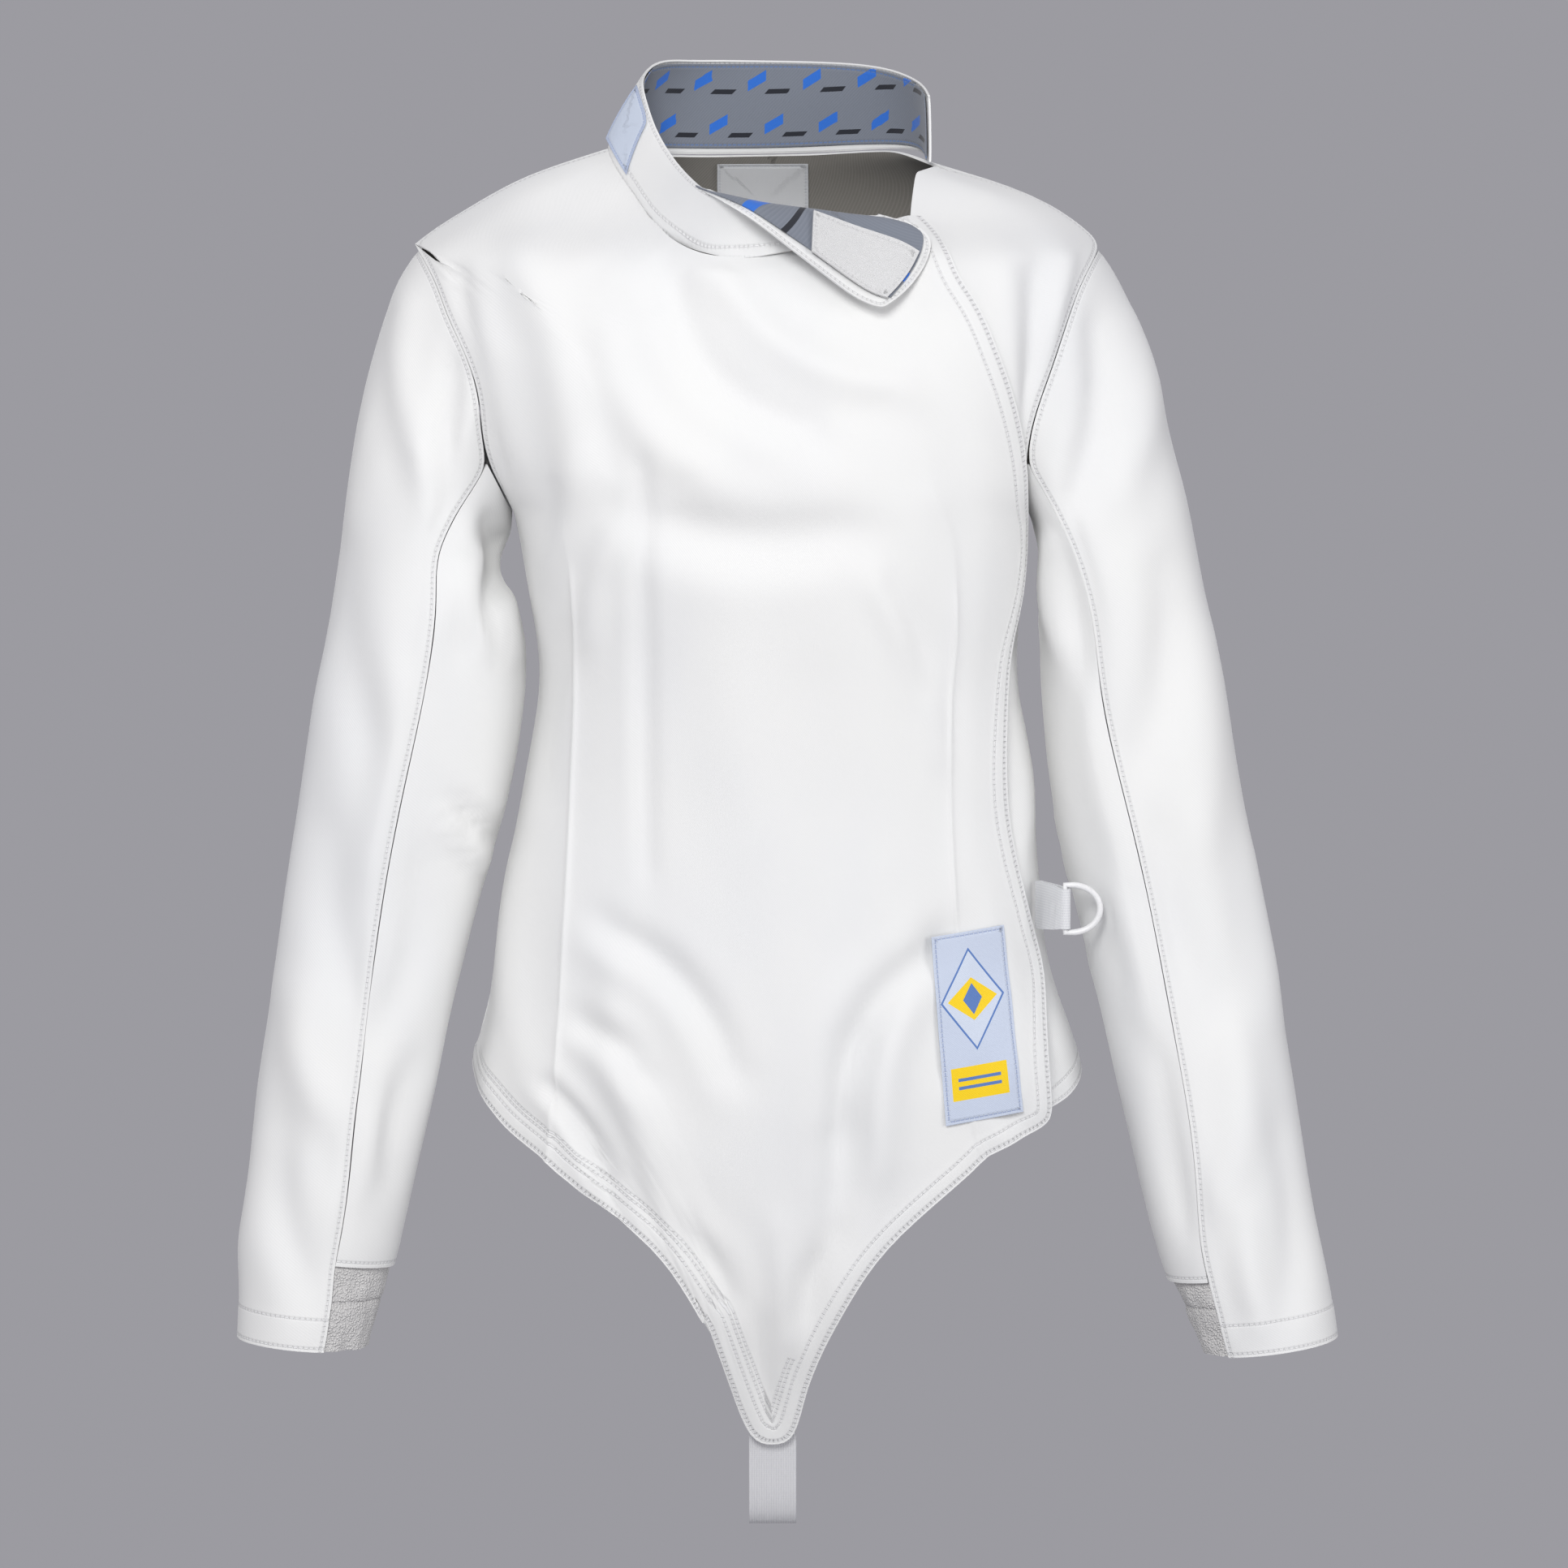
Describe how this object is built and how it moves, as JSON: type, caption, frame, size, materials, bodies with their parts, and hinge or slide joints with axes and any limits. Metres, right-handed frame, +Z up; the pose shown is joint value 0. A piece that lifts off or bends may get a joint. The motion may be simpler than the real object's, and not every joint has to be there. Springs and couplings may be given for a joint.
{
  "type": "fencing jacket",
  "caption": "White long-sleeved fencing jacket, filled out but empty: flap front closing at the side, standing collar with its end turned over, crotch elastic, webbing loop and D-ring.",
  "frame": {"origin": "middle of the neck at shoulder level, where a wearer's neck and shoulders hold the jacket up", "axes": "+Z up, -Y the jacket's front, +X the wearer's left (the viewer's right from the front)"},
  "size_m": [0.6766, 0.2276, 0.9053],
  "materials": {
    "white_cloth": "matt woven",
    "sleeve_cloth": "matt woven",
    "towelling": "looped towelling",
    "grey_lining": "matt, printed",
    "loop_pad": "brushed loop pile",
    "label": "smooth woven",
    "pale_blue": "satin",
    "elastic": "ribbed elastic",
    "webbing": "woven webbing",
    "ring": "smooth white coating"
  },
  "bodies": {
    "jacket": {"front": "white_cloth", "left_front": "white_cloth", "back": "white_cloth", "collar": "white_cloth", "sleeve_left": "sleeve_cloth", "under_sleeve_left": "sleeve_cloth", "sleeve_right": "sleeve_cloth", "under_sleeve_right": "sleeve_cloth", "cuff_left": "towelling", "cuff_right": "towelling", "collar_lining": "grey_lining", "loop_pad": "loop_pad", "neck_label": "label", "collar_label": "pale_blue", "badge": "pale_blue", "crotch_elastic": "elastic", "side_loop": "webbing"},
    "ring": {"d_ring": "ring"}
  },
  "joints": [
    {"name": "ring_swing", "type": "hinge", "parent": "jacket", "child": "ring", "pos_m": [0.178, -0.059, -0.459], "axis": [0, 0, 1], "range_deg": [-110, 12]}
  ]
}
